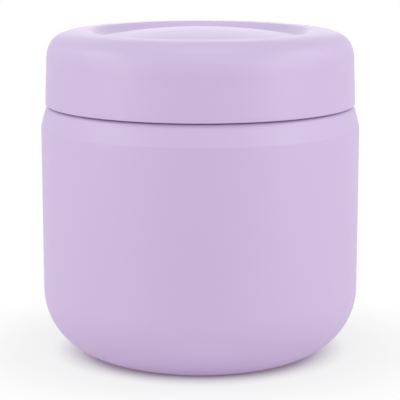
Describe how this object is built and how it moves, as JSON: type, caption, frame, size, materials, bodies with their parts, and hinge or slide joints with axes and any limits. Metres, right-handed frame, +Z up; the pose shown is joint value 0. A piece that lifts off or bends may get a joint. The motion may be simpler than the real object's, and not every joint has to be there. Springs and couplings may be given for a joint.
{
  "type": "insulated food jar",
  "caption": "Vacuum-insulated steel food jar with a rounded bottom edge, threaded neck and insulated screw lid with a dished top; the lid turns and rises off along its thread.",
  "frame": {"origin": "centre of the ring that the jar stands on, at the height of the surface below it", "axes": "+Z up along the jar's axis of revolution, through the middle of the lid; +X and +Y lie in the surface that it stands on, and +X points at the first end of the neck's thread"},
  "size_m": [0.1, 0.1, 0.103],
  "materials": {
    "coated_steel": "satin",
    "cup_steel": "satin",
    "plate_steel": "satin",
    "base_steel": "satin",
    "foil": "gloss",
    "seal_glass": "gloss",
    "getter_alloy": "matte",
    "lid_plastic": "satin",
    "core_plastic": "satin",
    "foam": "matte",
    "silicone": "satin"
  },
  "bodies": {
    "jar": {"outer_shell": "coated_steel", "inner_liner": "cup_steel", "foil_wrap": "foil", "foil_disc": "foil", "base_plate": "plate_steel", "vacuum_seal": "seal_glass", "getter_pellet": "getter_alloy", "getter_clip": "plate_steel", "base_cover": "base_steel"},
    "seal": {"lid_gasket": "silicone"},
    "lid": {"lid_cover": "lid_plastic", "lid_core": "core_plastic", "foam_insert": "foam"}
  },
  "joints": [
    {"name": "lid_lift", "type": "slide", "parent": "jar", "child": "seal", "axis": [0, 0, 1], "range_m": [0, 0.021]},
    {"name": "lid_turn", "type": "hinge", "parent": "seal", "child": "lid", "pos_m": [0, 0, 0.08], "axis": [0, 0, 1], "range_deg": [0, 1260]}
  ],
  "couplings": [
    {"joint": "lid_lift", "follows": "lid_turn", "m_per_rad": 0.00095493}
  ]
}
